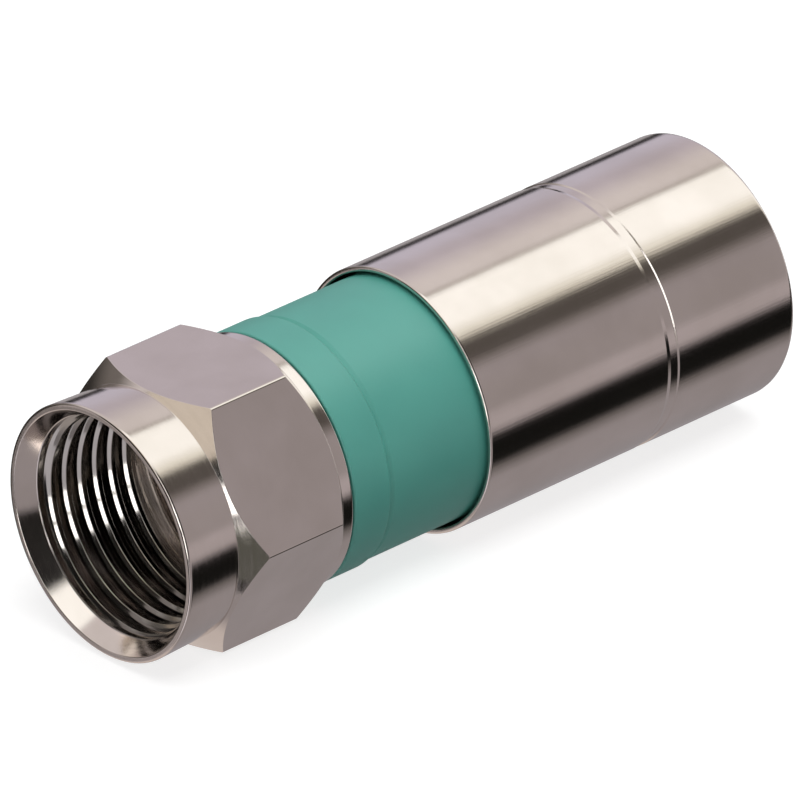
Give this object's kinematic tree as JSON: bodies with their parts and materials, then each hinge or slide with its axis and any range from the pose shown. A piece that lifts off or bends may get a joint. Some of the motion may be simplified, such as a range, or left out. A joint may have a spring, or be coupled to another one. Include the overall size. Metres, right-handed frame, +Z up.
{
  "type": "coaxial f connector",
  "caption": "Compression coaxial F connector: freely turning hexagonal coupling nut, green plastic body and a plated sleeve that slides forward to grip the cable.",
  "frame": {"origin": "on the connector's axis, at the mouth end of the coupling nut's threaded wall", "axes": "+X along the axis, out of the nut's mouth; +Z up, square to a flat of the hexagon; +Y completes the frame"},
  "size_m": [0.0323, 0.0128, 0.0114],
  "materials": {
    "nickel_nut": "bright nickel plate on turned brass",
    "nickel_post": "bright nickel plate on turned brass",
    "nickel_sleeve": "bright nickel plate on a drawn and turned brass tube",
    "green_plastic": "moulded acetal, satin gloss",
    "natural_plastic": "moulded acetal, natural white",
    "black_rubber": "moulded rubber"
  },
  "bodies": {
    "core": {"post": "nickel_post", "body": "green_plastic", "nut_seal_ring": "black_rubber"},
    "nut": {"coupling_nut": "nickel_nut"},
    "sleeve": {"compression_sleeve": "nickel_sleeve", "grip_ring": "natural_plastic", "entry_seal_ring": "black_rubber"}
  },
  "joints": [
    {"name": "nut_spin", "type": "hinge", "parent": "core", "child": "nut", "pos_m": [0, 0, 0], "axis": [1, 0, 0], "continuous": true},
    {"name": "sleeve_slide", "type": "slide", "parent": "core", "child": "sleeve", "axis": [1, 0, 0], "range_m": [0, 0.006]}
  ]
}
